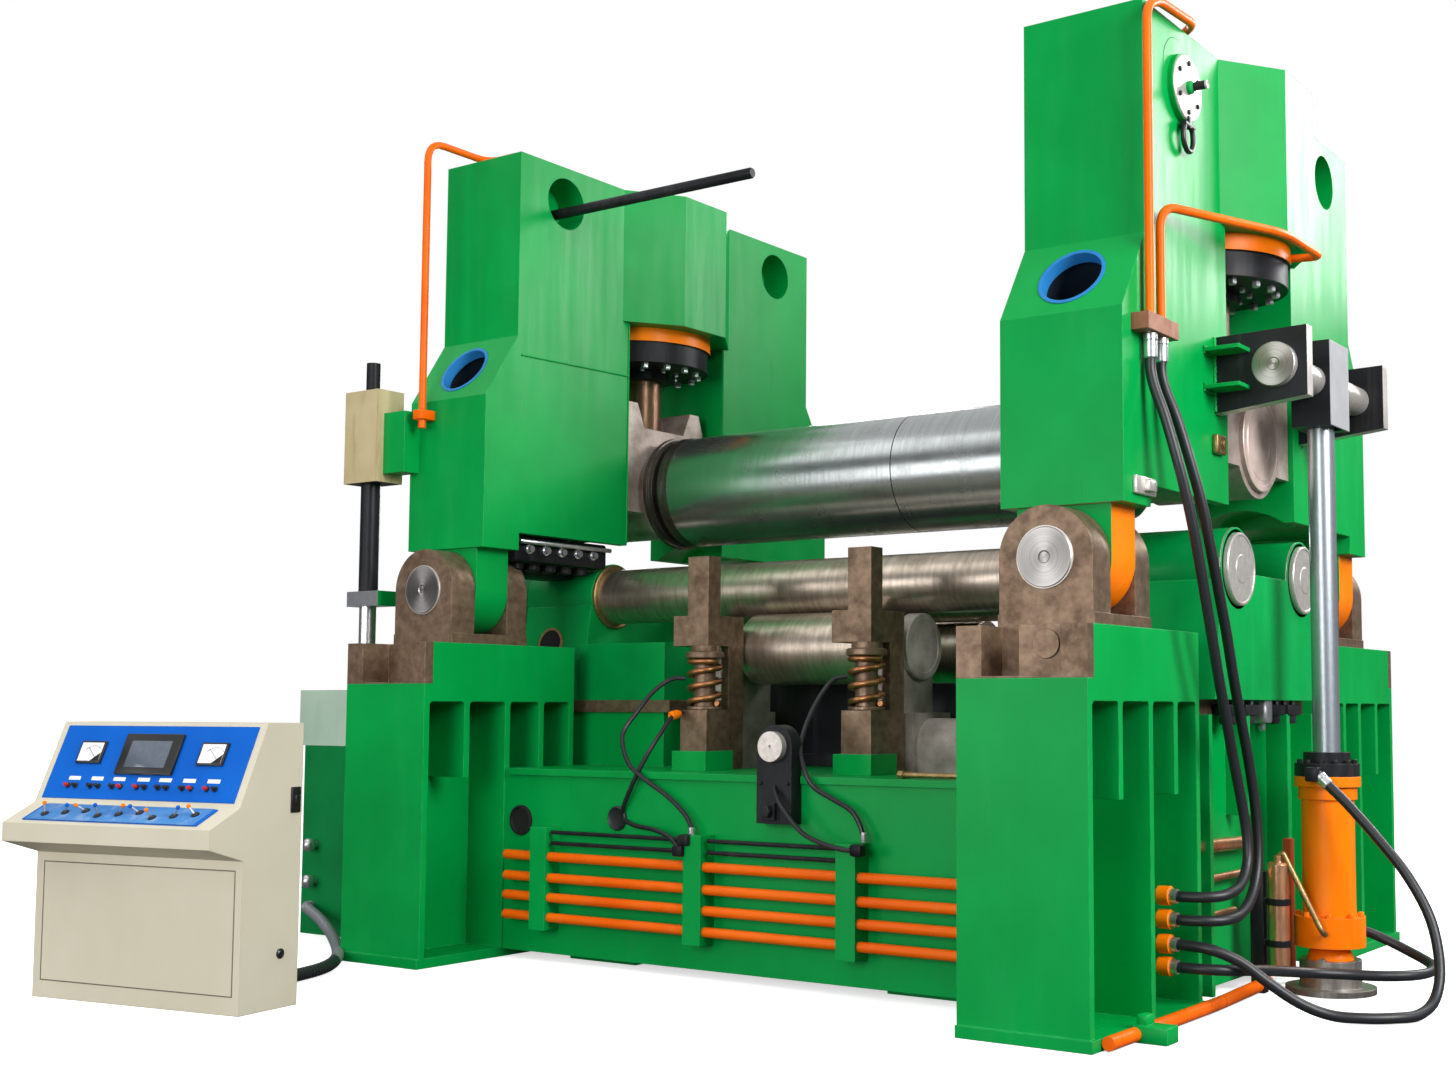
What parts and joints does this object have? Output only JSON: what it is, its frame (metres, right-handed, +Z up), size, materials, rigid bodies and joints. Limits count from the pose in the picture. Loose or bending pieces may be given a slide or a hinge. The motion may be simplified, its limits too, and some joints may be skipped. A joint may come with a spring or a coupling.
{
  "type": "plate rolling machine",
  "caption": "Heavy hydraulic plate rolling machine with a drop end frame, three rolls, welded stands, tilt cylinder and a control console.",
  "frame": {"origin": "middle of the machine between the end frames and between its front and rear, on the floor", "axes": "+X along the rolls to the hinged drop end, +Y to the rear, +Z up"},
  "size_m": [7.0308, 6.2034, 4.9259],
  "materials": {
    "green_paint": "semi-gloss",
    "orange_paint": "semi-gloss",
    "black_paint": "satin",
    "beige_paint": "satin",
    "blue_paint": "satin",
    "bare_steel": "oiled, brown",
    "turned_steel": "turned",
    "roll_steel": "ground",
    "grey_cast": "as cast",
    "copper_spring": "dull",
    "chrome_rod": "polished",
    "black_rubber": "matte"
  },
  "bodies": {
    "base": {"bed": "green_paint", "stands_left": "green_paint", "stands_right": "green_paint", "rail_blocks": "bare_steel", "clevises": "bare_steel", "hinge_pins": "turned_steel", "frame_left": "green_paint", "press_seat_left": "orange_paint", "housing_left": "green_paint", "housing_right": "green_paint", "bearing_covers": "turned_steel", "support_brackets": "grey_cast", "guide_columns": "bare_steel", "column_springs": "copper_spring", "centre_bracket": "black_paint", "pipe_racks": "green_paint", "bed_pipes": "orange_paint", "hose_couplings": "orange_paint", "balance_unit": "beige_paint", "pipes_left": "orange_paint", "drive_unit": "green_paint", "console_body": "beige_paint", "console_panel": "blue_paint", "cylinder_cup": "grey_cast", "hoses_tilt": "black_rubber", "hoses_floor": "black_rubber"},
    "tilt_frame": {"frame_right": "green_paint", "tilt_plates": "black_paint", "tilt_pin": "turned_steel", "press_seat_right": "orange_paint", "pipes_right": "orange_paint", "manifold": "bare_steel"},
    "left_press": {"chock_left": "grey_cast", "ram_left": "turned_steel"},
    "right_press": {"chock_right": "grey_cast", "ram_right": "turned_steel"},
    "roll_top": {"top_roll": "roll_steel"},
    "roll_bottom_front": {"bottom_roll_front": "roll_steel"},
    "roll_bottom_rear": {"bottom_roll_rear": "roll_steel"},
    "support_front": {"support_roller_front": "bare_steel"},
    "support_rear": {"support_roller_rear": "bare_steel"},
    "cylinder_barrel": {"tilt_barrel": "orange_paint", "tilt_gland": "black_paint"},
    "cylinder_rod": {"tilt_rod": "chrome_rod"},
    "cylinder_head": {"tilt_block": "black_paint"}
  },
  "joints": [
    {"name": "press", "type": "slide", "parent": "base", "child": "left_press", "axis": [0, 0, 1], "range_m": [-0.26, 0]},
    {"name": "press_right", "type": "slide", "parent": "tilt_frame", "child": "right_press", "axis": [0, 0, 1], "range_m": [-0.26, 0]},
    {"name": "top_roll_spin", "type": "hinge", "parent": "left_press", "child": "roll_top", "pos_m": [0, 0, 2.877], "axis": [1, 0, 0], "continuous": true},
    {"name": "bottom_roll_spin", "type": "hinge", "parent": "base", "child": "roll_bottom_front", "pos_m": [0, -0.468, 2.164], "axis": [1, 0, 0], "continuous": true},
    {"name": "bottom_roll_rear_spin", "type": "hinge", "parent": "base", "child": "roll_bottom_rear", "pos_m": [0, 0.468, 2.164], "axis": [1, 0, 0], "continuous": true},
    {"name": "support_roller_spin", "type": "hinge", "parent": "base", "child": "support_front", "pos_m": [0, -0.6, 1.79702], "axis": [1, 0, 0], "continuous": true},
    {"name": "support_roller_rear_spin", "type": "hinge", "parent": "base", "child": "support_rear", "pos_m": [0, 0.6, 1.79702], "axis": [1, 0, 0], "continuous": true},
    {"name": "frame_tilt", "type": "hinge", "parent": "base", "child": "tilt_frame", "pos_m": [2.055, 0, 2.137], "axis": [0, 1, 0], "range_deg": [0, 45], "deforming": ["hoses_tilt", "hoses_floor"]},
    {"name": "cylinder_swing", "type": "hinge", "parent": "base", "child": "cylinder_barrel", "pos_m": [2.7, 0, 0.15], "axis": [0, 1, 0], "range_deg": [0, 13.79]},
    {"name": "rod_stroke", "type": "slide", "parent": "cylinder_barrel", "child": "cylinder_rod", "axis": [0, 0, 1], "range_m": [-0.6933, 0]},
    {"name": "head_swing", "type": "hinge", "parent": "tilt_frame", "child": "cylinder_head", "pos_m": [2.7, 0, 3.16], "axis": [0, 1, 0], "range_deg": [-31.21, 0]}
  ],
  "couplings": [
    {"joint": "press_right", "follows": "press", "ratio": 1},
    {"joint": "bottom_roll_rear_spin", "follows": "bottom_roll_spin", "ratio": 1},
    {"joint": "support_roller_rear_spin", "follows": "support_roller_spin", "ratio": 1},
    {"joint": "cylinder_swing", "follows": "frame_tilt", "ratio": 0.3065},
    {"joint": "rod_stroke", "follows": "frame_tilt", "m_per_rad": -0.8827},
    {"joint": "head_swing", "follows": "frame_tilt", "ratio": -0.6935}
  ]
}
